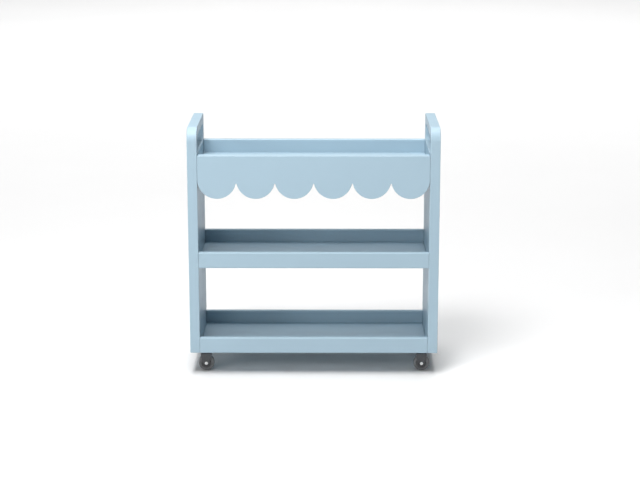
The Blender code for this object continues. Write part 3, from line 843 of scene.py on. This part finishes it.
def nut_mesh():
    """The locking nut: a chamfered hexagon with a round collar, at the axle's -Z end."""
    face = -(FORK_OUTER_HALF + GAP)
    profile = [
        (BORE_RADIUS, face), (0.0050, face),
        (NUT_RADIUS, face - 0.0005), (NUT_RADIUS, face - 0.0026),
        (0.0050, face - 0.0032), (0.0044, face - 0.0033), (0.0043, face - 0.0042),
        (0.0040, face - NUT_THICKNESS), (BORE_RADIUS, face - NUT_THICKNESS),
    ]
    return turned_mesh(
        "nut_visual", profile, BOLT_SEGMENTS, closed=True, hex_rows=(2, 3), sharp_angle=30)


def race_mesh():
    """The pressed cup over the swivel balls: a rolled rim and a domed top."""
    low = CROWN_TOP + GAP
    profile = [
        (STEM_BORE_RADIUS, low), (RACE_RADIUS - 0.0004, low),
        (RACE_RADIUS, low + 0.0004), (RACE_RADIUS, low + 0.0018),
        (0.0145, low + 0.0024), (0.0134, low + 0.0026), (0.0128, low + 0.0034),
        (0.0116, low + 0.0050), (0.0100, low + 0.0056), (STEM_BORE_RADIUS, low + 0.0057),
    ]
    return turned_mesh("race_visual", profile, CASTER_SEGMENTS, closed=True, sharp_angle=45)


def stem_mesh():
    """The stem: peened end under the crown, hexagon collar, and a threaded shank."""
    low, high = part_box("front_left_stem")
    rivet_top = CROWN_UNDER - 0.0004
    collar_low, collar_high = STEM_COLLAR
    chamfer = 0.0006
    flat = STEM_COLLAR_RADIUS - 0.0007
    profile = [
        (0, low.z), (0.0044, low.z), (0.0058, low.z + 0.0007), (STEM_RIVET_RADIUS, rivet_top),
        (STEM_RADIUS, rivet_top), (STEM_RADIUS, collar_low), (flat, collar_low),
        (STEM_COLLAR_RADIUS, collar_low + chamfer), (STEM_COLLAR_RADIUS, collar_high - chamfer),
        (flat, collar_high), (STEM_RADIUS, collar_high),
    ]
    turns = int((high.z - collar_high - THREAD_END) / THREAD_PITCH)
    for turn in range(turns):
        base = collar_high + chamfer + turn * THREAD_PITCH
        profile += [(STEM_RADIUS, base), (STEM_RADIUS - THREAD_DEPTH, base + THREAD_PITCH / 2)]
    profile += [(STEM_RADIUS - 0.0004, high.z), (0, high.z)]
    return turned_mesh("stem_visual", profile, BOLT_SEGMENTS, hex_rows=(7, 8), sharp_angle=30)


def insert_mesh():
    """The threaded insert: a flange under the floor and a barrel inside it."""
    low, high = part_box("front_left_threaded_insert")
    flange_top = low.z + INSERT_FLANGE_THICKNESS
    chamfer = 0.0004
    profile = [
        (STEM_BORE_RADIUS, low.z), (INSERT_FLANGE_RADIUS - chamfer, low.z),
        (INSERT_FLANGE_RADIUS, low.z + chamfer), (INSERT_FLANGE_RADIUS, flange_top),
        (INSERT_BARREL_RADIUS, flange_top), (INSERT_BARREL_RADIUS, high.z),
        (STEM_BORE_RADIUS, high.z),
    ]
    return turned_mesh("insert_visual", profile, CASTER_SEGMENTS, closed=True)


def casters():
    """Four casters. The forks turn with their swivel bodies, and the wheels with their own."""
    along_depth = Matrix.Rotation(math.pi / 2, 4, "X")
    fixed = [
        ("threaded_insert", insert_mesh(), "zinc"),
        ("stem", stem_mesh(), "zinc"),
        ("swivel_race", race_mesh(), "fork_black"),
    ]
    fork = [("fork", fork_mesh(), "fork_black")]
    pins = [("axle", axle_mesh(), "bright_steel"), ("axle_nut", nut_mesh(), "zinc")]
    wheel = [("wheel_core", core_mesh(), "core_grey"), ("tyre", tyre_mesh(), "tyre_grey")]
    for _, mesh, _ in pins + wheel:
        mesh.transform(along_depth)
    for corner in ("front_left", "front_right", "rear_left", "rear_right"):
        low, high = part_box(corner + "_stem")
        place = Vector(((low.x + high.x) / 2, (low.y + high.y) / 2, 0))
        turn = 0.0 if place.y < 0 else math.pi
        groups = (
            (fixed, 0.0, "frame"), (fork, 0.0, corner + "_swivel"),
            (pins, AXLE_Z, corner + "_swivel"), (wheel, AXLE_Z, corner + "_wheel"),
        )
        for pieces, lift, body in groups:
            for name, mesh, slot in pieces:
                node = f"{corner}_{name}"
                piece = add_object(node + "_visual", mesh, MATERIALS[slot])
                piece.location = place + Vector((0, 0, lift))
                piece.rotation_euler.z = turn
                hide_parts(node)
                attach(piece, body)


# ---------------------------------------------------------------- studio

def studio_floor():
    """A wide pale floor, so that every view has the same ground."""
    bm = bmesh.new()
    half = FLOOR_SIZE / 2
    corners = ((-half, -half, 0), (half, -half, 0), (half, half, 0), (-half, half, 0))
    bm.faces.new([bm.verts.new(corner) for corner in corners])
    mesh = bpy.data.meshes.new("studio_floor")
    bm.to_mesh(mesh)
    bm.free()
    floor = bpy.data.objects.new("studio_floor", mesh)
    bpy.context.scene.collection.objects.link(floor)
    mesh.materials.append(floor_material())


def soft_sun(name, azimuth, elevation, strength):
    """A distant softbox, from an azimuth and an elevation in degrees."""
    light = bpy.data.lights.new(name, "SUN")
    light.energy = strength
    light.angle = math.radians(SUN_SPREAD)
    item = bpy.data.objects.new(name, light)
    bpy.context.scene.collection.objects.link(item)
    item.rotation_euler = (math.radians(90 - elevation), 0, math.radians(azimuth))


def soft_area(name, place, aim, size, watts):
    """A round softbox near the cart, so that its light falls off with distance."""
    light = bpy.data.lights.new(name, "AREA")
    light.shape = "DISK"
    light.size = size
    light.energy = watts
    item = bpy.data.objects.new(name, light)
    bpy.context.scene.collection.objects.link(item)
    item.location = place
    item.rotation_euler = (Vector(aim) - Vector(place)).to_track_quat("-Z", "Y").to_euler()
    item.visible_camera = False


def studio_world():
    """A pale band of light round the horizon, fading into a dim sky."""
    world = bpy.data.worlds.new("studio")
    world.use_nodes = True
    tree = world.node_tree
    place = tree.nodes.new("ShaderNodeTexCoord")
    parts = tree.nodes.new("ShaderNodeSeparateXYZ")
    fade = tree.nodes.new("ShaderNodeMapRange")
    fade.inputs["From Min"].default_value = HORIZON_LOW
    fade.inputs["From Max"].default_value = HORIZON_HIGH
    fade.inputs["To Min"].default_value = HORIZON_STRENGTH
    fade.inputs["To Max"].default_value = SKY_STRENGTH
    tree.links.new(place.outputs["Generated"], parts.inputs["Vector"])
    tree.links.new(parts.outputs["Z"], fade.inputs["Value"])
    tree.links.new(fade.outputs["Result"], tree.nodes["Background"].inputs["Strength"])
    tree.nodes["Background"].inputs["Color"].default_value = (1.0, 1.0, 1.0, 1.0)
    bpy.context.scene.world = world


def camera():
    """The camera, at the photograph's viewing angle."""
    data = bpy.data.cameras.new("camera")
    data.sensor_width = SENSOR_WIDTH
    data.lens = CAMERA_LENS
    data.clip_end = CLIP_END
    item = bpy.data.objects.new("camera", data)
    bpy.context.scene.collection.objects.link(item)
    item.location = CAMERA_PLACE
    item.rotation_euler = (math.pi / 2 - CAMERA_TILT, 0, CAMERA_TURN)
    bpy.context.scene.camera = item


# ---------------------------------------------------------------- the cart

for panel_side in ("left", "right"):
    side_panel(panel_side)
scalloped_front()
straight_board("top_tray_back_board", "screw_left_top_back")
for shelf in ("middle", "bottom"):
    straight_board(shelf + "_shelf_front_lip", f"screw_left_{shelf}_front")
    straight_board(shelf + "_shelf_back_board", f"screw_left_{shelf}_back")
tray_floor("top_tray_floor")
tray_floor("middle_shelf_floor")
tray_floor("bottom_shelf_floor", [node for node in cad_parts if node.endswith("threaded_insert")])
screws()
casters()

studio_floor()
for sun in SUNS:
    soft_sun(*sun)
for softbox in SOFTBOXES:
    soft_area(*softbox)
studio_world()
bpy.context.scene.view_settings.view_transform = "Standard"
camera()
